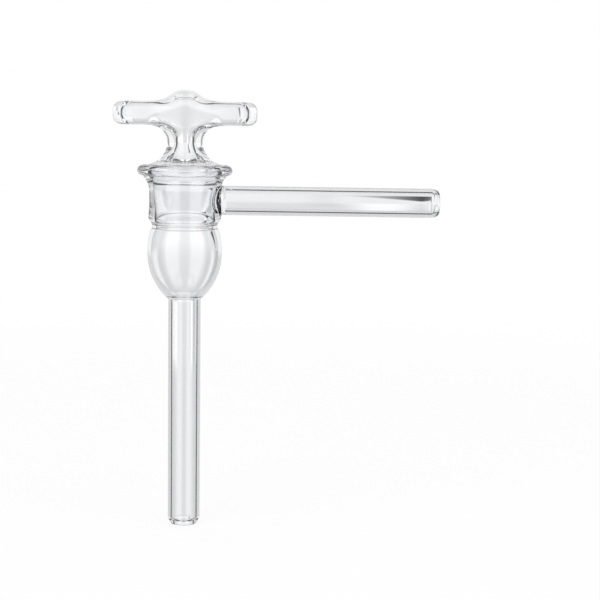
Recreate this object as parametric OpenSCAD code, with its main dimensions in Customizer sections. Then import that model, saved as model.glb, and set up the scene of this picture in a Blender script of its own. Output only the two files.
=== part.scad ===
// Right-angle vacuum stopcock of borosilicate glass, with a hollow ground plug and a bulb.
// Two blown pieces: the barrel, with its bulb, lower tube and side arm, and the plug with its
// T-handle. +Z runs up the barrel's axis and +X along the side arm. The origin is the centre
// of the lower tube's open end. The plug is drawn open, its port facing the side arm.

/* [Lower tube] */
// Outside diameter of the lower tube
tube_d = 10.6; // [9:0.1:13]
// Wall of the lower tube
tube_wall = 1.1; // [0.8:0.05:1.4]
// Length of the lower tube, from its mouth to the bulb
tube_len = 75.4; // [40:0.2:120]

/* [Side arm] */
// Outside diameter of the side arm
arm_d = 9.5; // [8.8:0.1:11]
// Wall of the side arm
arm_wall = 1.25; // [0.8:0.05:1.3]
// Distance from the barrel's axis to the side arm's mouth
arm_reach = 83; // [50:1:120]
// Height of the side arm's axis above the narrow end of the seat
arm_rise = 7.3; // [6.5:0.1:9]
// Radius of the seal between the side arm and the barrel
arm_fillet = 1.3; // [0.5:0.1:2]

/* [Fire-polished ends] */
// Diameter of the mouths of both tubes
mouth_d = 6; // [5:0.1:6.4]
// Length over which a tube's end is drawn in to its mouth
polish_len = 2.8; // [1.8:0.1:3.5]
// Radius of the lip round a mouth
lip_r = 0.45; // [0.25:0.05:0.6]

/* [Bulb] */
// Largest outside diameter of the bulb
bulb_d = 24.4; // [23:0.1:30]
// Wall of the bulb
bulb_wall = 1; // [0.7:0.05:1.2]
// Height from the end of the lower tube to the widest part of the bulb
bulb_rise = 16.1; // [12:0.1:20]
// Height from the widest part of the bulb to the waist
bulb_fall = 7.8; // [5:0.1:12]
// Radius of the seal between the lower tube and the bulb
foot_fillet = 1.5; // [0.8:0.1:2.2]

/* [Barrel] */
// Outside diameter of the barrel round the seat
barrel_d = 23.2; // [22.6:0.1:26]
// Outside diameter of the waist between barrel and bulb
waist_d = 21.4; // [20.8:0.1:22.4]
// Wall of the waist
waist_wall = 1.5; // [1.2:0.05:1.6]
// Height of the waist
waist_h = 1.2; // [0.8:0.1:4]
// Height of the step from the waist out to the barrel
step_h = 2.2; // [1.8:0.1:5]
// How far the barrel swells at its lower end
heel_swell = 0.25; // [0:0.05:0.6]
// Outside diameter of the rim's bead
rim_d = 31; // [28:0.1:34]
// Thickness of the rim's bead
rim_t = 3.5; // [2.4:0.1:3.7]
// Height of the flare below the bead
flare_h = 6.2; // [4:0.1:7]
// Rounding of the rim's inner edge
rim_round = 2; // [1:0.1:2.2]

/* [Ground joint] */
// Diameter of the seat at its narrow end
seat_d = 19; // [18:0.1:19.4]
// Length of the ground seat
seat_len = 16.6; // [14:0.1:20]
// Growth of the seat's diameter for each millimetre of height
seat_taper = 0.2; // [0.15:0.01:0.22]
// Diameter of the ways through the barrel's wall and the plug's wall
port_d = 6; // [4.5:0.1:6.4]
// Radial clearance between plug and seat
fit = 0.04; // [0.02:0.01:0.1]

/* [Plug] */
// Wall of the hollow plug
plug_wall = 0.9; // [0.7:0.05:1.4]
// How far the plug's lower end stays above the narrow end of the seat
plug_lift = 0.6; // [0:0.1:1.2]
// Height of the plug's rounded shoulder above the rim
shoulder_h = 0.6; // [0.3:0.1:1.6]
// How far the shoulder stands out over the ground cone
shoulder_swell = 0.15; // [0.05:0.05:0.6]
// Diameter of the neck at its narrowest
neck_d = 11.6; // [10.6:0.1:13]
// Bore of the neck at its narrowest
neck_bore = 5.4; // [4:0.1:6.2]
// Radius of the curve of the neck
neck_curve = 7; // [6:0.1:8]
// Angle through which the neck's curve turns down to the shoulder
neck_fall = 73; // [50:1:78]
// How far the neck flares below the handle
neck_flare = 0.25; // [0.1:0.05:0.6]

/* [Handle] */
// Length of the T-handle
handle_len = 47; // [34:0.2:60]
// Diameter of the T-handle
handle_d = 7.6; // [6.8:0.1:9]
// Wall of the hollow handle
handle_wall = 0.65; // [0.6:0.05:1.2]
// Thickness of the handle's solid ends
handle_cap = 3; // [1.5:0.1:4]
// Length of the dome at each end of the handle
handle_dome = 3; // [2:0.1:3.6]
// Height of the handle's axis above the narrowest part of the neck
handle_rise = 9.4; // [8.8:0.1:12]
// Half length of the swelling where the handle is sealed to the neck
handle_spread = 9.6; // [8:0.1:12]
// Diameter of the hub inside the swelling
hub_d = 11.3; // [10.4:0.1:12]
// Wall of the hub
hub_wall = 1.2; // [1:0.1:1.6]
// Height of the sealed tip above the handle's axis
tip_rise = 7.5; // [7:0.1:10]
// Diameter of the flat on the sealed tip
tip_d = 5.6; // [4:0.1:7]
// Thickness of the glass in the sealed tip
tip_wall = 3.2; // [2:0.1:3.4]

/* [Hidden] */
glass = [0.84, 0.89, 0.93, 0.6];

// Steps in each curved stretch of an outline
steps = 14;
$fn = 96;
// A cut runs this far past the face that it opens
over = 1;

tube_r = tube_d / 2;
arm_r = arm_d / 2;
mouth_r = mouth_d / 2;
port_r = port_d / 2;

// Heights, from the lower mouth up
foot_z = tube_len;
widest_z = foot_z + bulb_rise;
waist_z = widest_z + bulb_fall;
step_z = waist_z + waist_h;
heel_z = step_z + step_h;
seat_z = step_z + 0.8;
arm_z = seat_z + arm_rise;
seat_top_z = seat_z + seat_len;
rim_z = seat_top_z + rim_round;
bead_z = rim_z - rim_t / 2;
flare_z = rim_z - rim_t - flare_h;
plug_end_z = seat_z + plug_lift;
shoulder_z = rim_z + shoulder_h;
neck_z = shoulder_z + neck_curve * sin(neck_fall);
handle_z = neck_z + handle_rise;
tip_z = handle_z + tip_rise;

// Radii
bulb_r = bulb_d / 2;
bulb_in = bulb_r - bulb_wall;
foot_r = tube_r + foot_fillet;
barrel_r = barrel_d / 2;
waist_r = waist_d / 2;
waist_in = waist_r - waist_wall;
bead_r = (rim_d - rim_t) / 2;
neck_r = neck_d / 2;
handle_r = handle_d / 2;
hub_r = hub_d / 2;
tip_r = tip_d / 2;

// Angle through which the neck's curve turns above its narrowest part
neck_turn = acos(1 - neck_flare / neck_curve);
// Angle through which the seal between the lower tube and the bulb turns
foot_turn = 55;
// Angles through which the neck's bore turns, down to the roof of the hollow plug and up
bore_fall = 49;
bore_rise = 34;
// How far below the top of the seat the hollow plug starts to close in
roof_drop = 1;
// The hollow's ends are this much flatter than the handle's
hollow_dome = 0.75;
// The lower half of the bulb is full above and nearly straight below
egg = [1.15, 2.05];

// Radius of the seat, and of the plug's ground cone, at height z
function seat_r(z) = (seat_d + (z - seat_z) * seat_taper) / 2;
function cone_r(z) = seat_r(z) - fit;

// Arc of a circle about c, from angle a to angle b
function arc(c, r, a, b) =
    [for (i = [0:steps]) let (t = a + (b - a) * i / steps) c + r * [cos(t), sin(t)]];

// Quarter of a superellipse about c, from angle a to angle b between 0 and 90, with a power
// for each axis. Powers of 2 give an ellipse and lower ones a straighter slope.
function bow(c, size, a, b, power = [2, 2]) =
    [for (i = [0:steps]) let (t = a + (b - a) * i / steps)
        c + [size.x * pow(max(cos(t), 0), 2 / power.x), size.y * pow(max(sin(t), 0), 2 / power.y)]];

// S-shaped sweep from p to q that leaves and arrives along the axis
function sweep(p, q) =
    [for (i = [0:steps]) let (t = i / steps)
        [p.x + (q.x - p.x) * (1 - cos(180 * t)) / 2, p.y + (q.y - p.y) * t]];

// Outside of a tube's fire-polished end, from its mouth at height 0 to its full radius
function polished_end(r) = concat(
    [[0, 0]],
    bow([mouth_r + lip_r, polish_len], [r - mouth_r - lip_r, -polish_len], 90, 0, [1.7, 1.7]));

// Inside of the same end, from below the mouth up to the bore
function polished_bore(r, wall) = concat(
    [[0, -over], [mouth_r + lip_r, -over]],
    arc([mouth_r + lip_r, lip_r], lip_r, 270, 180),
    bow([mouth_r, polish_len], [r - wall - mouth_r, lip_r + wall - polish_len], 90, 0));

// Outline of the bulb, with the seal below it of the given radius, out to radius r
function bulb_outline(fillet, r) =
    let (foot = arc([foot_r, foot_z], fillet, 180, 180 - foot_turn), low = foot[steps])
    concat(foot, bow([low.x, widest_z], [r - low.x, low.y - widest_z], 90, 0, egg));

// The barrel and everything sealed to it, without the way inside
module barrel_outside() {
    rotate_extrude()
    polygon(concat(
        polished_end(tube_r),
        bulb_outline(foot_fillet, bulb_r),
        bow([waist_r, widest_z], [bulb_r - waist_r, bulb_fall], 0, 90, [1.9, 1.9]),
        sweep([waist_r, step_z], [barrel_r + heel_swell, heel_z]),
        sweep([barrel_r + heel_swell, heel_z + heel_swell], [barrel_r, arm_z - 1]),
        [for (i = [0:steps]) let (t = i / steps)
            [barrel_r + (bead_r - barrel_r) * t * t, flare_z + flare_h * t]],
        arc([bead_r, bead_z], rim_t / 2, -90, 90),
        [[0, rim_z]]));
    side_arm_outside();
}

// The side arm, with the flare that seals it to the barrel
module side_arm_outside() {
    root = barrel_r + arm_fillet;
    translate([arm_reach, 0, arm_z])
    rotate([0, -90, 0])
    rotate_extrude()
    polygon(concat(
        polished_end(arm_r),
        arc([arm_r + arm_fillet, arm_reach - root], arm_fillet, 180, 90),
        [[arm_r + arm_fillet, arm_reach - barrel_r + waist_wall * 1.5],
         [0, arm_reach - barrel_r + waist_wall * 1.5]]));
}

// The way through the barrel: lower tube, bulb, seat and mouth
module barrel_inside() {
    rotate_extrude()
    polygon(concat(
        polished_bore(tube_r, tube_wall),
        bulb_outline(foot_fillet + tube_wall, bulb_in),
        bow([waist_in, widest_z], [bulb_in - waist_in, bulb_fall], 0, 90, [1.9, 1.9]),
        [[waist_in, step_z],
         [seat_r(seat_z), seat_z]],
        arc([seat_r(seat_top_z) + rim_round, seat_top_z], rim_round, 180, 90),
        [[seat_r(seat_top_z) + rim_round, rim_z + over],
         [0, rim_z + over]]));
}

// The side arm's bore, and the narrower way through the barrel's wall
module side_arm_inside() {
    bore_len = arm_reach - barrel_r;
    translate([arm_reach, 0, arm_z])
    rotate([0, -90, 0])
    rotate_extrude()
    polygon(concat(
        polished_bore(arm_r, arm_wall),
        [[arm_r - arm_wall, bore_len - 0.6],
         [port_r, bore_len],
         [port_r, arm_reach - seat_r(arm_z) + over],
         [0, arm_reach - seat_r(arm_z) + over]]));
}

module barrel() {
    color(glass)
    difference() {
        barrel_outside();
        barrel_inside();
        side_arm_inside();
    }
}

// The plug's ground cone, shoulder and neck, turned about the barrel's axis
module plug_body() {
    tail_r = cone_r(plug_end_z + plug_wall) - plug_wall / 2;
    cone_top_z = seat_top_z + rim_round / 2;
    crown_r = cone_r(cone_top_z) + shoulder_swell;
    foot = arc([neck_r + neck_curve, neck_z], neck_curve,
               180 + neck_fall, 180 - neck_turn);
    rotate_extrude()
    polygon(concat(
        [[0, plug_end_z]],
        bow([tail_r, plug_end_z + plug_wall], [plug_wall / 2, -plug_wall], 90, 0),
        sweep([cone_r(cone_top_z), cone_top_z], [crown_r, rim_z]),
        bow([foot[0].x, rim_z], [crown_r - foot[0].x, shoulder_h], 0, 90, [1.8, 1.8]),
        foot,
        sweep([hub_r, handle_z - handle_r], [hub_r, handle_z]),
        bow([tip_r, handle_z], [hub_r - tip_r, tip_rise], 0, 90, [2.2, 2.2]),
        [[0, tip_z]]));
}

// One length of the handle's bar, with the given radius and half length
module bar(r, half) {
    rotate([0, 90, 0])
    cylinder(r = r, h = 2 * half, center = true);
}

// Web of glass from the bar to an oval of the given half widths, at height z from the bar's axis
module web(half, z, size) {
    hull() {
        bar(handle_r - 0.05, half, $fn = 32);
        translate([0, 0, z])
        scale([size.x, size.y, 1])
        cylinder(r = 1, h = 0.2, center = true, $fn = 32);
    }
}

// A bar along X with domed ends, of the given radius and half length
module domed_bar(r, half, dome) {
    rotate([0, 90, 0])
    rotate_extrude()
    polygon(concat(
        bow([0, dome - half], [r, -dome], 90, 0),
        bow([0, half - dome], [r, dome], 0, 90)));
}

// The T-handle: a bar with domed ends, drawn into the neck below and the tip above
module handle() {
    neck_top = neck_curve * sin(neck_turn) - handle_rise;
    translate([0, 0, handle_z]) {
        domed_bar(handle_r, handle_len / 2, handle_dome);
        // Down to the neck, then up to the tip
        web(handle_spread - 1, neck_top + 0.3, [neck_r + neck_flare - 0.05, neck_r]);
        web(handle_spread + 0.4, neck_top + 1.9, [neck_r + 1.5, neck_r - 0.1]);
        web(handle_spread - 2.4, tip_rise - 0.6, [tip_r + 1.1, tip_r + 0.8]);
        web(handle_spread - 0.2, tip_rise - 2.5, [tip_r + 2.9, tip_r + 1.8]);
    }
}

// The hollow inside the plug, open at its lower end
module plug_inside() {
    end_in = cone_r(plug_end_z) - plug_wall;
    dome_z = seat_top_z - roof_drop;
    dome_in = cone_r(dome_z) - plug_wall;
    hub_in = hub_r - hub_wall;
    bore = arc([neck_bore / 2 + neck_curve, neck_z], neck_curve, 180 + bore_fall, 180 - bore_rise);
    rotate_extrude()
    polygon(concat(
        [[0, plug_end_z - over], [end_in, plug_end_z - over], [end_in, plug_end_z]],
        bow([bore[0].x, dome_z], [dome_in - bore[0].x, bore[0].y - dome_z], 0, 90),
        bore,
        sweep(bore[steps], [hub_in, handle_z - handle_r / 3]),
        bow([0, handle_z], [hub_in, tip_rise - tip_wall], 0, 90, [2.4, 2.4])));
    translate([0, 0, handle_z])
    domed_bar(handle_r - handle_wall, handle_len / 2 - handle_cap, handle_dome * hollow_dome);
}

// The plug's port, level with the side arm and facing it
module plug_port() {
    translate([0, 0, arm_z])
    rotate([0, 90, 0])
    cylinder(r = port_r, h = barrel_r);
}

module plug() {
    color(glass)
    difference() {
        union() {
            plug_body();
            handle();
        }
        plug_inside();
        plug_port();
    }
}

barrel();
plug();
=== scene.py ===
import math
import bmesh
import bpy
from mathutils import Matrix, Vector


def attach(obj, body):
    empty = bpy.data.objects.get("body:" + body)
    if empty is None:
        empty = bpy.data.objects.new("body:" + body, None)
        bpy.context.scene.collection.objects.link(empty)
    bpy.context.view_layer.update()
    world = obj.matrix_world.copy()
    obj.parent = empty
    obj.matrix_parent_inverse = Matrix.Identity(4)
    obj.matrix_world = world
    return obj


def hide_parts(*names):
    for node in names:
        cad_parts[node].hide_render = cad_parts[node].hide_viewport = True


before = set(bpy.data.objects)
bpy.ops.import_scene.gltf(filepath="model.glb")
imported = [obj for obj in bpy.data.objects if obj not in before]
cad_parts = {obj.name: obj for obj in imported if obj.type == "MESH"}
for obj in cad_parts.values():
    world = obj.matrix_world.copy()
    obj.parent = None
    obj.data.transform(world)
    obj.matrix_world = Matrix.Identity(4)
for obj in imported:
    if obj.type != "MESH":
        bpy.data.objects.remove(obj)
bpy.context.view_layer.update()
print("frame loaded:", sorted(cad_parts))

mm = 0.001        # sizes are in millimetres, and heights run up from the lower tube's mouth
spare = 1         # how far a cutting form runs past the surface it cuts
closest = 0.004   # points of an outline nearer than this are one


def arcPoints(centre, radius, start, end, count=12):
    angles = [math.radians(start + (end - start) * i / count) for i in range(count + 1)]
    return [(centre[0] + radius * math.cos(a), centre[1] + radius * math.sin(a)) for a in angles]


def bowPoints(centre, width, height, start, end, powers=(2, 2), count=16):
    # quarter of a superellipse, as blown glass bellies out
    angles = [math.radians(start + (end - start) * i / count) for i in range(count + 1)]
    return [(centre[0] + width * max(math.cos(a), 0) ** (2 / powers[0]),
             centre[1] + height * max(math.sin(a), 0) ** (2 / powers[1])) for a in angles]


def runPoints(start, end, count, bend=lambda t: t):
    # even steps of height, straight unless a bend is given for the radius
    steps = [i / count for i in range(count + 1)]
    return [(start[0] + (end[0] - start[0]) * bend(t), start[1] + (end[1] - start[1]) * t) for t in steps]


def sweepPoints(start, end, count=14):
    # an S that leaves and arrives along the axis
    return runPoints(start, end, count, lambda t: (1 - math.cos(math.pi * t)) / 2)


def flarePoints(start, end, power, count=14):
    # leaves along the axis and opens out
    return runPoints(start, end, count, lambda t: t ** power)


def spinOutline(points, steps):
    # turns an outline of (radius, height) into a closed form about the upright axis
    bm = bmesh.new()
    apart = [points[0]] + [b for a, b in zip(points, points[1:]) if math.dist(a, b) > closest]
    corners = [bm.verts.new((r * mm, 0, z * mm)) for r, z in apart]
    edges = [bm.edges.new(pair) for pair in zip(corners, corners[1:])]
    bmesh.ops.spin(bm, geom=corners + edges, cent=(0, 0, 0), axis=(0, 0, 1), dvec=(0, 0, 0),
                   angle=math.tau, steps=steps, use_merge=True, use_duplicate=False)
    bmesh.ops.remove_doubles(bm, verts=bm.verts, dist=0.0005 * mm)
    bmesh.ops.recalc_face_normals(bm, faces=bm.faces)
    return bm


def objectFrom(bm, name):
    mesh = bpy.data.meshes.new(name)
    bm.to_mesh(mesh)
    bm.free()
    piece = bpy.data.objects.new(name, mesh)
    bpy.context.scene.collection.objects.link(piece)
    return piece


def meshWithModifiers(piece):
    return bpy.data.meshes.new_from_object(piece.evaluated_get(bpy.context.evaluated_depsgraph_get()))


def combine(piece, tool, operation):
    # joins, or cuts with, a second form and removes it
    boolean = piece.modifiers.new(operation, "BOOLEAN")
    boolean.object, boolean.operation, boolean.solver = tool, operation, "MANIFOLD"
    result = meshWithModifiers(piece)
    piece.modifiers.clear()
    piece.data = result
    bpy.data.objects.remove(tool)


def finishGlass(piece, body, node, sharpAngle=32):
    piece.data.shade_smooth()
    piece.data.set_sharp_from_angle(angle=math.radians(sharpAngle))
    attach(piece, body)
    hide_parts(node)
    print(piece.name, "has", len(piece.data.polygons), "faces")


# the ground taper that the two pieces share, and the passage through it
groundSizes = {
    "low": 101.3, "high": 117.9, "lowRadius": 9.8, "taper": 0.1, "clearance": 0.04,
    "port": 3.0, "rings": 16,
}


def seatRadius(height):
    return groundSizes["lowRadius"] + (height - groundSizes["low"]) * groundSizes["taper"]


def coneRadius(height):
    return seatRadius(height) - groundSizes["clearance"]


# the fire-polished end of either tube, drawn in to a narrower mouth
endSizes = {"mouth": 3.0, "lip": 0.45, "polish": 2.8, "fullness": (1.7, 1.7)}


def polishedEnd(radius):
    e = endSizes
    edge = e["mouth"] + e["lip"]
    return [(0, 0)] + bowPoints((edge, e["polish"]), radius - edge, -e["polish"], 90, 0, e["fullness"])


def polishedBore(radius, bore):
    e = endSizes
    edge = e["mouth"] + e["lip"]
    inset = e["polish"] - e["lip"] - (radius - bore)
    lip = arcPoints((edge, e["lip"]), e["lip"], 270, 180, 6)
    throat = bowPoints((e["mouth"], e["polish"]), bore - e["mouth"], -inset, 90, 0)
    return [(0, -spare), (edge, -spare)] + lip + throat


barrelSizes = {
    "tubeRadius": 5.3, "tubeBore": 4.05,
    "foot": 75.4, "footFillet": 1.5, "footTurn": 55,
    "widest": 91.5, "bulbRadius": 12.2, "bulbWall": 1.0, "egg": (1.15, 2.05), "bulbTop": (1.9, 1.9),
    "waist": 99.3, "waistTop": 100.5, "waistRadius": 10.7, "waistBore": 9.2,
    "heel": 102.7, "heelTop": 103.0, "heelRadius": 11.85, "straight": 107.6, "barrelRadius": 11.6,
    "flare": 110.2, "flareTop": 116.4, "flarePower": 2.7,
    "bead": 118.15, "beadRadius": 13.73, "beadRound": 1.75, "rim": 119.9, "rimRound": 2.0, "steps": 128,
}


def bulbOutline(fillet, radius, waistRadius):
    # the seal above the lower tube, the bulb out to its widest, and its upper part in to the waist
    s = barrelSizes
    foot = arcPoints((s["tubeRadius"] + s["footFillet"], s["foot"]), fillet, 180, 180 - s["footTurn"])
    low = foot[-1]
    belly = bowPoints((low[0], s["widest"]), radius - low[0], low[1] - s["widest"], 90, 0, s["egg"], 32)
    return foot + belly + bowPoints((waistRadius, s["widest"]), radius - waistRadius,
                                    s["waist"] - s["widest"], 0, 90, s["bulbTop"], 20)


def barrelOutside():
    s = barrelSizes
    outline = polishedEnd(s["tubeRadius"]) + bulbOutline(s["footFillet"], s["bulbRadius"], s["waistRadius"])
    outline += sweepPoints((s["waistRadius"], s["waistTop"]), (s["heelRadius"], s["heel"]))
    outline += sweepPoints((s["heelRadius"], s["heelTop"]), (s["barrelRadius"], s["straight"]))
    outline += flarePoints((s["barrelRadius"], s["flare"]), (s["beadRadius"], s["flareTop"]),
                           s["flarePower"])
    outline += arcPoints((s["beadRadius"], s["bead"]), s["beadRound"], -90, 90, 20)
    return spinOutline(outline + [(0, s["rim"])], s["steps"])


def barrelInside():
    s, g = barrelSizes, groundSizes
    fillet = s["footFillet"] + s["tubeRadius"] - s["tubeBore"]
    outline = polishedBore(s["tubeRadius"], s["tubeBore"])
    outline += bulbOutline(fillet, s["bulbRadius"] - s["bulbWall"], s["waistBore"])
    outline += [(s["waistBore"], s["waistTop"])]
    outline += runPoints((seatRadius(g["low"]), g["low"]), (seatRadius(g["high"]), g["high"]), g["rings"])
    rimRadius = seatRadius(g["high"]) + s["rimRound"]
    outline += arcPoints((rimRadius, g["high"]), s["rimRound"], 180, 90)
    top = s["rim"] + spare
    return spinOutline(outline + [(rimRadius, top), (0, top)], s["steps"])


# along the arm, lengths run inwards from its mouth
armSizes = {
    "height": 108.6, "reach": 83.0, "radius": 4.75, "bore": 3.35, "root": 11.6, "rootDepth": 1.7,
    "throat": (-1.4, 0.2), "flareLength": 1.2, "flareRadius": 5.3, "flarePower": 2.4, "rings": 24,
    "melted": (4.9, 8.6), "meltedFrom": 6, "meltedOut": 11, "weld": 0.03, "smoothing": 4, "steps": 72,
}


def layAlongArm(bm):
    # a form spun upright is turned to run inwards from the side arm's mouth
    place = Matrix.Translation((armSizes["reach"] * mm, 0, armSizes["height"] * mm))
    bmesh.ops.transform(bm, matrix=place @ Matrix.Rotation(-math.pi / 2, 4, "Y"), verts=bm.verts)
    return bm


def armOutside():
    a = armSizes
    root = a["reach"] - a["root"]
    start, end = root - a["flareLength"], root + a["rootDepth"]
    outline = polishedEnd(a["radius"])
    outline += runPoints((a["radius"], endSizes["polish"]), (a["radius"], start), a["rings"])
    outline += flarePoints((a["radius"], start), (a["flareRadius"], root), a["flarePower"], 12)
    return layAlongArm(spinOutline(outline + [(a["flareRadius"], end), (0, end)], a["steps"]))


def armInside():
    a = armSizes
    root = a["reach"] - a["root"]
    end = a["reach"] - seatRadius(a["height"]) + spare
    wide, narrow = (root + t for t in a["throat"])
    outline = polishedBore(a["radius"], a["bore"])
    outline += sweepPoints((a["bore"], wide), (groundSizes["port"], narrow), 8)
    return layAlongArm(spinOutline(outline + [(groundSizes["port"], end), (0, end)], a["steps"]))


def softenRoot(piece):
    # the seal between arm and barrel is melted glass, so its corner is smoothed round
    a = armSizes
    bm = bmesh.new()
    bm.from_mesh(piece.data)
    bmesh.ops.remove_doubles(bm, verts=bm.verts, dist=a["weld"] * mm)
    bmesh.ops.triangulate(bm, faces=[f for f in bm.faces if len(f.verts) > 4])
    near = []
    for v in bm.verts:
        x, y, z = v.co / mm
        along = a["meltedFrom"] < x < a["root"] + a["flareLength"] and math.hypot(x, y) > a["meltedOut"]
        if along and a["melted"][0] < math.hypot(y, z - a["height"]) < a["melted"][1]:
            near.append(v)
    for _ in range(a["smoothing"]):
        bmesh.ops.smooth_vert(bm, verts=near, factor=0.5, use_axis_x=True, use_axis_y=True, use_axis_z=True)
    bm.to_mesh(piece.data)
    bm.free()


def makeBarrel():
    piece = objectFrom(barrelOutside(), "barrelGlass")
    combine(piece, objectFrom(armOutside(), "armOutside"), "UNION")
    softenRoot(piece)
    combine(piece, objectFrom(barrelInside(), "barrelInside"), "DIFFERENCE")
    combine(piece, objectFrom(armInside(), "armInside"), "DIFFERENCE")
    finishGlass(piece, "barrel_body", "barrel")
    return piece


# The handle with its tip and neck is a smoothed cage, outside and inside. Each ring is (place
# along its limb, radius) or (height, wide, deep), and the hub's corners are measured from the
# bar's middle. Smoothing draws a ring of eight corners in to "draw" of its radius.
handleSizes = {
    "height": 136.6, "levels": 3, "corners": 8, "draw": 0.902,
    "outside": {
        "bar": [(11.4, 3.8), (14.5, 3.8), (18.2, 3.8), (20.4, 3.82), (22.1, 3.5), (23.2, 2.4),
                (23.4, 1.1)],
        "neck": [(129.6, 6.15, 5.75), (128.3, 5.9, 5.8), (127.25, 5.8, 5.8)],
        "tip": [(142.9, 4.3, 4.0), (143.8, 3.0, 2.9), (144.09, 1.4, 1.4)],
        "hub": {(1, 0, 0): (9.0, 0, 0), (0, 1, 0): (0, 6.1, 0), (1, 1, 0): (8.6, 4.5, 0),
                (1, 0, 1): (7.3, 0, 4.5), (0, 1, 1): (0, 5.2, 4.9), (1, 1, 1): (6.6, 3.2, 3.9),
                (1, 0, -1): (8.1, 0, -5.0), (0, 1, -1): (0, 6.3, -5.0), (1, 1, -1): (7.0, 3.9, -4.1)},
    },
    "inside": {
        "bar": [(8.5, 3.2), (12.0, 3.2), (15.0, 3.2), (17.2, 3.2), (18.9, 2.95), (20.2, 2.3),
                (20.95, 1.25)],
        "neck": [(130.9, 3.7, 3.6), (129.2, 2.8, 2.8), (128.1, 2.5, 2.5), (127.25, 2.42, 2.42)],
        "tip": [(141.6, 3.4, 3.6)],
        "hub": {(1, 0, 0): (5.8, 0, 0), (0, 1, 0): (0, 4.9, 0), (1, 1, 0): (5.2, 3.9, 0),
                (1, 0, 1): (5.6, 0, 3.7), (0, 1, 1): (0, 4.9, 3.4), (1, 1, 1): (5.0, 3.5, 3.1),
                (1, 0, -1): (6.0, 0, -4.2), (0, 1, -1): (0, 4.6, -4.2), (1, 1, -1): (5.2, 3.2, -3.7)},
    },
}


def teeCage(tee):
    # A cube's sides are drawn out into the bar, the neck and the tip. It is built on whole
    # numbers first: i counts along the bar, j across it and k up, and rings lie at 2 and more.
    bm = bmesh.new()
    bmesh.ops.create_cube(bm, size=2)
    bmesh.ops.subdivide_edges(bm, edges=bm.edges, cuts=1, use_grid_fill=True)
    draws = [(Vector((1, 0, 0)), len(tee["bar"])), (Vector((-1, 0, 0)), len(tee["bar"])),
             (Vector((0, 0, 1)), len(tee["tip"])), (Vector((0, 0, -1)), len(tee["neck"]))]
    for way, count in draws:
        for step in range(count):
            # the four faces whose middles lie beside this limb's axis, at its end
            side = [f for f in bm.faces if abs(f.calc_center_median().dot(way) - 1 - step) < 0.1
                    and f.calc_center_median().cross(way).length < 0.9]
            grown = bmesh.ops.extrude_face_region(bm, geom=side)["geom"]
            bmesh.ops.delete(bm, geom=side, context="FACES_KEEP_BOUNDARY")
            bmesh.ops.translate(bm, vec=way, verts=[g for g in grown if isinstance(g, bmesh.types.BMVert)])
    low = [f for f in bm.faces if f.calc_center_median().z < -0.9 - len(tee["neck"])]
    bmesh.ops.delete(bm, geom=low, context="FACES")
    for v in bm.verts:
        v.co = teePlace(tee, *[round(c) for c in v.co]) * mm
    bmesh.ops.recalc_face_normals(bm, faces=bm.faces)
    return bm


def teePlace(tee, i, j, k):
    height = handleSizes["height"]

    def onRing(a, b, wide, deep):
        length = (math.hypot(a, b) or 1) * handleSizes["draw"]
        return wide * a / length, deep * b / length

    if abs(i) > 1:
        along, radius = tee["bar"][abs(i) - 2]
        y, z = onRing(j, k, radius, radius)
        return Vector((math.copysign(along, i), y, height + z))
    if abs(k) > 1:
        z, wide, deep = tee["tip" if k > 0 else "neck"][abs(k) - 2]
        x, y = onRing(i, j, wide, deep)
        return Vector((x, y, z))
    x, y, z = tee["hub"][abs(i), abs(j), k]
    return Vector((math.copysign(x, i), math.copysign(y, j), height + z))


def smoothTee(tee, name):
    cage = objectFrom(teeCage(tee), name)
    smooth = cage.modifiers.new("smooth", "SUBSURF")
    smooth.levels = smooth.render_levels = handleSizes["levels"]
    mesh = meshWithModifiers(cage)
    bm = bmesh.new()
    bm.from_mesh(mesh)
    bpy.data.objects.remove(cage)
    bpy.data.meshes.remove(mesh)
    return bm


def joinBelow(tee, turned, name):
    # the turned body is bridged to the tee's open neck
    mesh = bpy.data.meshes.new("turned")
    turned.to_mesh(mesh)
    turned.free()
    tee.from_mesh(mesh)
    bpy.data.meshes.remove(mesh)
    bmesh.ops.bridge_loops(tee, edges=[e for e in tee.edges if e.is_boundary])
    bmesh.ops.recalc_face_normals(tee, faces=tee.faces)
    return objectFrom(tee, name)


plugSizes = {
    "end": 101.9, "wall": 0.5, "coneTop": 118.9, "crown": 119.9, "crownRadius": 11.45,
    "shoulder": 120.5, "shoulderFullness": (1.8, 1.8), "footRadius": 10.75,
    "neck": 127.2, "neckRadius": 5.8, "neckCurve": 7.0,
    "dome": 118.6, "neckBore": 2.4, "boreTurn": 70, "portMiddle": 10, "portLength": 14,
}
plugSteps = handleSizes["corners"] * 2 ** handleSizes["levels"]   # as many as the smoothed neck has


def neckArc(radius, turn, count):
    # the sweep up into the neck, a degree short of upright where the bridge to the tee begins
    p = plugSizes
    return arcPoints((radius + p["neckCurve"], p["neck"]), p["neckCurve"], 180 + turn, 181, count)


def plugTurned():
    p = plugSizes
    low = p["end"] + p["wall"]
    tail = (coneRadius(low) - p["wall"] / 2, low)
    top = (coneRadius(p["coneTop"]), p["coneTop"])
    outline = [(0, p["end"])] + bowPoints(tail, p["wall"] / 2, -p["wall"], 90, 0)
    outline += runPoints((coneRadius(low), low), top, groundSizes["rings"])
    outline += sweepPoints(top, (p["crownRadius"], p["crown"]), 8)
    outline += bowPoints((p["footRadius"], p["crown"]), p["crownRadius"] - p["footRadius"],
                         p["shoulder"] - p["crown"], 0, 90, p["shoulderFullness"])
    turn = math.degrees(math.asin((p["neck"] - p["shoulder"]) / p["neckCurve"]))
    return spinOutline(outline + neckArc(p["neckRadius"], turn, 16), plugSteps)


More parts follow.
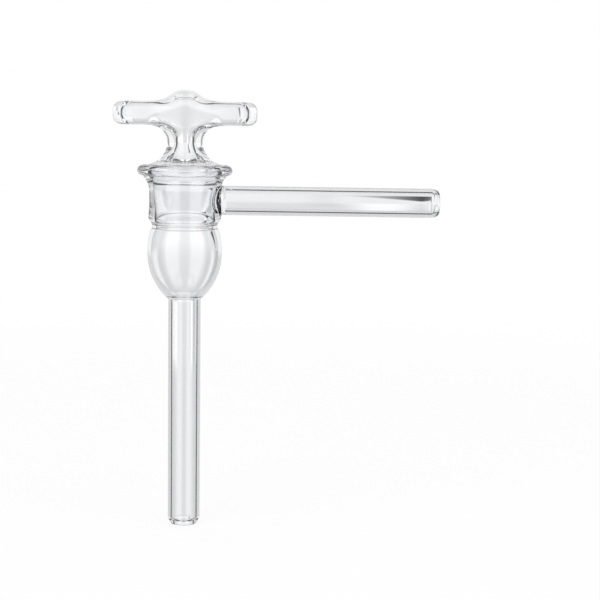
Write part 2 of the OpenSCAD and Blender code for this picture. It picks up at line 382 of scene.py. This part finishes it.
def plugCavity():
    p = plugSizes
    low, high = (coneRadius(p[name]) - p["wall"] for name in ("end", "dome"))
    bore = neckArc(p["neckBore"], p["boreTurn"], 18)
    outline = [(0, p["end"] - spare), (low, p["end"] - spare)]
    outline += runPoints((low, p["end"]), (high, p["dome"]), groundSizes["rings"])
    inner, top = bore[0]
    outline += bowPoints((inner, p["dome"]), high - inner, top - p["dome"], 0, 90, count=20)
    return spinOutline(outline + bore, plugSteps)


def plugPort():
    p, radius = plugSizes, groundSizes["port"] * mm
    place = Matrix.Translation((p["portMiddle"] * mm, 0, armSizes["height"] * mm))
    bm = bmesh.new()
    bmesh.ops.create_cone(bm, cap_ends=True, segments=64, radius1=radius, radius2=radius,
                          depth=p["portLength"] * mm, matrix=place @ Matrix.Rotation(math.pi / 2, 4, "Y"))
    return bm


def makePlug():
    piece = joinBelow(smoothTee(handleSizes["outside"], "outerTee"), plugTurned(), "plugGlass")
    cavity = joinBelow(smoothTee(handleSizes["inside"], "innerTee"), plugCavity(), "plugCavity")
    combine(piece, cavity, "DIFFERENCE")
    combine(piece, objectFrom(plugPort(), "plugPort"), "DIFFERENCE")
    finishGlass(piece, "plug_body", "plug")
    return piece


class Wire:
    # a socket that adds, multiplies and compares in Python's own signs
    def __init__(self, socket):
        self.socket = socket

    def maths(self, operation, other=None, swapped=False):
        tree = self.socket.id_data
        made = tree.nodes.new("ShaderNodeMath")
        made.operation = operation
        pair = [self] if other is None else [other, self] if swapped else [self, other]
        for slot, value in zip(made.inputs, pair):
            if isinstance(value, Wire):
                tree.links.new(value.socket, slot)
            else:
                slot.default_value = value
        return Wire(made.outputs[0])

    def __add__(self, other): return self.maths("ADD", other)
    def __radd__(self, other): return self.maths("ADD", other, swapped=True)
    def __sub__(self, other): return self.maths("SUBTRACT", other)
    def __rsub__(self, other): return self.maths("SUBTRACT", other, swapped=True)
    def __mul__(self, other): return self.maths("MULTIPLY", other)
    def __rmul__(self, other): return self.maths("MULTIPLY", other, swapped=True)
    def __truediv__(self, other): return self.maths("DIVIDE", other)
    def __neg__(self): return self * -1
    def __abs__(self): return self.maths("ABSOLUTE")
    def __lt__(self, other): return self.maths("LESS_THAN", other)
    def __gt__(self, other): return self.maths("GREATER_THAN", other)

    def most(self, other): return self.maths("MAXIMUM", other)
    def least(self, other): return self.maths("MINIMUM", other)

    def ramp(self, low, high):
        # 0 at low and 1 at high, with soft ends
        ramp = self.socket.id_data.nodes.new("ShaderNodeMapRange")
        ramp.interpolation_type = "SMOOTHSTEP"
        self.socket.id_data.links.new(self.socket, ramp.inputs["Value"])
        ramp.inputs["From Min"].default_value, ramp.inputs["From Max"].default_value = low, high
        return Wire(ramp.outputs[0])

    def hill(self, start, top, end, foot):
        # rises from start to top and falls from end to foot
        return self.ramp(start, top) * (1 - self.ramp(end, foot))

    def blend(self, none, full):
        # none where the wire is 0 and full where it is 1
        return self * (full - none) + none


class Shader:
    def __init__(self, owner):
        owner.use_nodes = True
        self.tree = owner.node_tree
        self.tree.nodes.clear()

    def node(self, kind, settings=None, **values):
        # settings first, then each socket's value or wire: _ is a space in its name, n0 its number
        made = self.tree.nodes.new("ShaderNode" + kind)
        for name, value in (settings or {}).items():
            setattr(made, name, value)
        for name, value in values.items():
            number = name[1:]
            slot = made.inputs[int(number) if number.isdigit() else name.replace("_", " ")]
            if isinstance(value, Wire):
                self.tree.links.new(value.socket, slot)
            else:
                slot.default_value = value
        return made

    def wire(self, node, output=0):
        return Wire(node.outputs[output])

    def place(self, coordinates):
        # the three parts of a place or a direction
        apart = self.node("SeparateXYZ", n0=self.wire(self.node("TexCoord"), coordinates))
        return [self.wire(apart, i) for i in range(3)]

    def output(self, kind, surface):
        last = self.tree.nodes.new("ShaderNodeOutput" + kind)
        self.tree.links.new(surface.outputs[0], last.inputs["Surface"])


# "joint", "groove" and "port" bound the greased surfaces, in millimetres off the taper, above
# the seat and along the arm
glassLook = {
    # the edge colour is painted shade, blended into the tint where a surface is seen edge-on
    "tint": (0.982, 0.986, 0.995, 1), "edge": (0.88, 0.89, 0.91, 1), "edgeShadeBlend": 0.12, "index": 1.473,
    "grease": (0.985, 0.985, 0.99, 1), "joint": 0.2, "grooveIn": 0.4, "grooveHeight": 2.05,
    "grooveOut": {"barrelGlass": 2.0, "plugGlass": 0.4},
    "portWider": 0.1, "portFrom": 8, "portPastRoot": 1.7,
}


def greasedPart(look, name):
    # 1 on the ground joint, in the groove at the rim and in the port's passage
    g, a, p = glassLook, armSizes, plugSizes
    x, y, z = (part / mm for part in look.place("Object"))
    top = groundSizes["high"]
    offTaper = ((x * x + y * y).maths("SQRT") - (z - groundSizes["low"]) * groundSizes["taper"]
                - groundSizes["lowRadius"])
    joint = abs(offTaper) < g["joint"]
    groove = (offTaper < g["grooveOut"][name]) * (offTaper > -g["grooveIn"])
    ring = (z > p["end"] + p["wall"]) * (z < top + g["grooveHeight"]) * (z > top).blend(joint, groove)
    rise = z - a["height"]
    port = ((y * y + rise * rise).maths("SQRT") < a["bore"] + g["portWider"]) * (x > g["portFrom"])
    return ring.most(port * (x < a["root"] + g["portPastRoot"]))


def glassMaterial(name):
    # Clear glass with painted shade: its colour greys towards its edges, where a surface is seen edge-on.
    # Grease fills the joint, so light passes it unbent.
    g = glassLook
    look = Shader(bpy.data.materials.new(name))
    # painted shade: the tint turns to the edge colour as the surface turns edge-on
    facing = look.wire(look.node("LayerWeight", Blend=g["edgeShadeBlend"]), "Facing")
    tint = look.node("Mix", {"data_type": "RGBA"}, Factor=facing, n6=g["tint"], n7=g["edge"])
    clear = look.node("BsdfPrincipled", Base_Color=look.wire(tint, 2), Roughness=0.0,
                      IOR=g["index"], Transmission_Weight=1.0)
    greased = look.node("BsdfTransparent", Color=g["grease"])
    look.output("Material", look.node("MixShader", n0=greasedPart(look, name),
                                      n1=look.wire(clear), n2=look.wire(greased)))
    return bpy.data.materials[name]


def addGlass(piece):
    piece.data.materials.clear()
    piece.data.materials.append(glassMaterial(piece.name))


# Directions are cosines: 1 is straight behind the glass and -1 is the viewer's side. A pair is
# where a tone starts and is full, and a second pair is where it falls and has gone.
backdropLight = {
    "panel": (0.82, 0.97), "panelRise": (-0.13, -0.04), "panelEdge": (0.85, 0.92),
    "beyond": (1.12, 0.95), "beyondRise": (-0.092, -0.070),
    "seam": 0.08, "seamEdge": (0.90, 0.935, 0.935, 0.97), "seamSteep": (0.14, 0.22),
    "post": 0.75, "postEdge": (0.36, 0.45, 0.60, 0.68),
    "shade": 0.4, "shadeEdge": (0.15, 0.20, 0.34, 0.42), "shadeRise": (-0.45, -0.35, -0.088, -0.070),
    "board": 0.95, "boardGrowth": 12, "boardFrom": 0.012, "boardTo": 0.12,
    "boardTop": (0.11, 0.15), "boardFoot": 0.12, "boardSlope": 1.83, "boardSoft": 0.015,
    "steep": 0.3, "steepEdge": (0.68, 0.90),
}
roomLight = {
    "turn": 5.0,
    "rear": (0.64, 0.80), "rearRise": (-0.14, -0.05), "rearEdge": (0.66, 0.74),
    "rearSteep": (0.60, 0.74), "rearDeep": (0.70, 0.82),
    "glow": 0.25, "glowEdge": (0.78, 0.82), "glowRise": (-0.16, -0.11),
    "front": 1.4, "frontEdge": (0.30, 0.44), "frontSteep": (0.86, 0.95),
    "slit": 0.75, "slitEdge": (0.900, 0.995),
    "side": 0.2, "sideEdge": (0.28, 0.40),
    "overhead": 0.3, "overheadEdge": (0.93, 0.98), "gap": 0.08,
}


def seesBackdrop(look):
    # straight views, and views through clear glass that nothing has turned back
    path = look.node("LightPath")
    return look.wire(path, "Is Camera Ray").most(
        look.wire(path, "Is Transmission Ray") * (look.wire(path, "Glossy Depth") < 0.5))


def backdropTone(ahead, right, east, y, z):
    # a pale panel with a seam, posts beside it, a shade low at the right and a slanting board
    b = backdropLight
    crossed = ahead * ahead * right * right
    fourfold = 1 - crossed * 8   # 1 straight ahead and at right angles, -1 half way between
    inside = z.ramp(*b["panelRise"]).blend(*b["panel"])
    beyond = z.ramp(*b["beyondRise"]).blend(*b["beyond"])
    panel = fourfold.ramp(*b["panelEdge"]).blend(beyond, inside)
    seam = fourfold.hill(*b["seamEdge"]) * (1 - abs(z).ramp(*b["seamSteep"])) * b["seam"]
    post = abs(ahead).hill(*b["postEdge"]) * b["post"]
    shade = right.hill(*b["shadeEdge"]) * z.hill(*b["shadeRise"]) * (ahead > 0) * b["shade"]
    over = (east - b["boardFrom"]).most(0)
    foot = (z + over * b["boardSlope"] - b["boardFoot"]).ramp(-b["boardSoft"], b["boardSoft"])
    board = (1 - z.ramp(*b["boardTop"])) * foot * (over * b["boardGrowth"]).least(b["board"])
    board = board * (east < b["boardTo"]) * (y > 0)
    level = abs(z).ramp(*b["steepEdge"]).blend(1, b["steep"])
    return panel * (1 - seam) * (1 - post) * (1 - shade) * (1 - board) * level


def roomTone(ahead, z):
    # bright windows behind and in front, dark corners between them and a light overhead
    r = roomLight
    glow = (1 - ahead.ramp(*r["glowEdge"])) * z.ramp(*r["glowRise"]) * r["glow"]
    rear = ahead.ramp(*r["rearEdge"]) * (1 - z.ramp(*r["rearSteep"])) * (1 - (-z).ramp(*r["rearDeep"]))
    rear = rear * (glow + z.ramp(*r["rearRise"]).blend(*r["rear"]))
    slit = (-ahead).ramp(*r["slitEdge"]) * r["slit"]
    front = (-ahead).ramp(*r["frontEdge"]) * (1 - abs(z).ramp(*r["frontSteep"])) * (1 - slit) * r["front"]
    side = (1 - abs(ahead).ramp(*r["sideEdge"])) * (1 - abs(z).ramp(*r["rearSteep"])) * r["side"]
    return rear + front + side + abs(z).ramp(*r["overheadEdge"]) * r["overhead"] + r["gap"]


def lightRoom():
    # the glass shows the backdrop where it is looked through, and the room where it turns light back
    world = bpy.data.worlds.new("room")
    bpy.context.scene.world = world
    look = Shader(world)
    direct = seesBackdrop(look)
    camera = look.wire(look.node("LightPath"), "Is Camera Ray")
    x, y, z = look.place("Generated")
    length = (x * x + y * y).maths("SQRT").most(0.01)
    turn = math.radians(roomLight["turn"])
    ahead = (y * math.cos(turn) - x * math.sin(turn)) / length
    right = (x * math.cos(turn) + y * math.sin(turn)) / length
    backdrop = camera.most(backdropTone(ahead, right, x / length, y, z))
    strength = direct * backdrop + (1 - direct) * roomTone(ahead, z)
    look.output("World", look.node("Background", Color=(1, 1, 1, 1), Strength=strength))


floorLook = {
    "size": 6.0, "colour": (0.93, 0.935, 0.94, 1), "shown": 0.92, "fade": (0.18, 0.6),
    "through": 0.80, "open": (0.25, 0.35),
}


def layFloor():
    # white to the eye with a faint shadow near the glass; what the glass turns looks past it
    f = floorLook
    bm = bmesh.new()
    bmesh.ops.create_grid(bm, x_segments=1, y_segments=1, size=f["size"] / 2)
    floor = objectFrom(bm, "floor")
    material = bpy.data.materials.new("paleFloor")
    look = Shader(material)
    camera = look.wire(look.node("LightPath"), "Is Camera Ray")
    x, y = look.place("Object")[:2]
    reach = (x * x + y * y).maths("SQRT")
    glow = look.node("Emission", Color=(1, 1, 1, 1), Strength=camera.blend(f["through"], 1))
    cloth = look.node("BsdfDiffuse", Color=f["colour"])
    shown = reach.ramp(*f["fade"]).blend(f["shown"], 1).most(1 - camera)
    seen = look.node("MixShader", n0=shown, n1=look.wire(cloth), n2=look.wire(glow))
    clear = look.node("BsdfTransparent", Color=(1, 1, 1, 1))
    solid = seesBackdrop(look) * camera.most(1 - reach.ramp(*f["open"]))
    look.output("Material", look.node("MixShader", n0=solid, n1=look.wire(clear), n2=look.wire(seen)))
    floor.data.materials.append(material)


lamps = {
    "overhead": {"place": (0.05, -0.10, 0.75), "aim": (0.02, 0, 0.07), "size": 0.7, "watts": 2.2},
    "front": {"place": (-0.45, -0.75, 0.45), "aim": (0.02, 0, 0.08), "size": 0.5, "watts": 2.0},
}


def hangLamps():
    for name, lamp in lamps.items():
        light = bpy.data.lights.new(name, "AREA")
        light.shape, light.size, light.energy = "SQUARE", lamp["size"], lamp["watts"]
        holder = bpy.data.objects.new(name, light)
        holder.location = lamp["place"]
        toward = Vector(lamp["aim"]) - Vector(lamp["place"])
        holder.rotation_euler = toward.to_track_quat("-Z", "Y").to_euler()
        holder.visible_glossy = holder.visible_transmission = False
        bpy.context.scene.collection.objects.link(holder)


cameraPlace = {
    "place": (0.03807, -0.4575, 0.13505), "down": 7.335, "roll": 0.83, "lens": 84.0, "clip": (0.01, 20),
}


def setCamera():
    c = cameraPlace
    camera = bpy.data.objects.new("camera", bpy.data.cameras.new("camera"))
    camera.data.lens, camera.data.sensor_width = c["lens"], 36
    camera.data.clip_start, camera.data.clip_end = c["clip"]
    camera.matrix_world = (Matrix.Translation(c["place"])
                           @ Matrix.Rotation(math.radians(90 - c["down"]), 4, "X")
                           @ Matrix.Rotation(math.radians(c["roll"]), 4, "Z"))
    bpy.context.scene.collection.objects.link(camera)
    bpy.context.scene.camera = camera


print("barrel")
addGlass(makeBarrel())
print("plug")
addGlass(makePlug())

print("room, floor, lamps and camera")
lightRoom()
layFloor()
hangLamps()
setCamera()

scene = bpy.context.scene
scene.view_settings.view_transform = "Standard"
scene.cycles.max_bounces = scene.cycles.transmission_bounces = 32
scene.cycles.glossy_bounces = 16

print("finished")
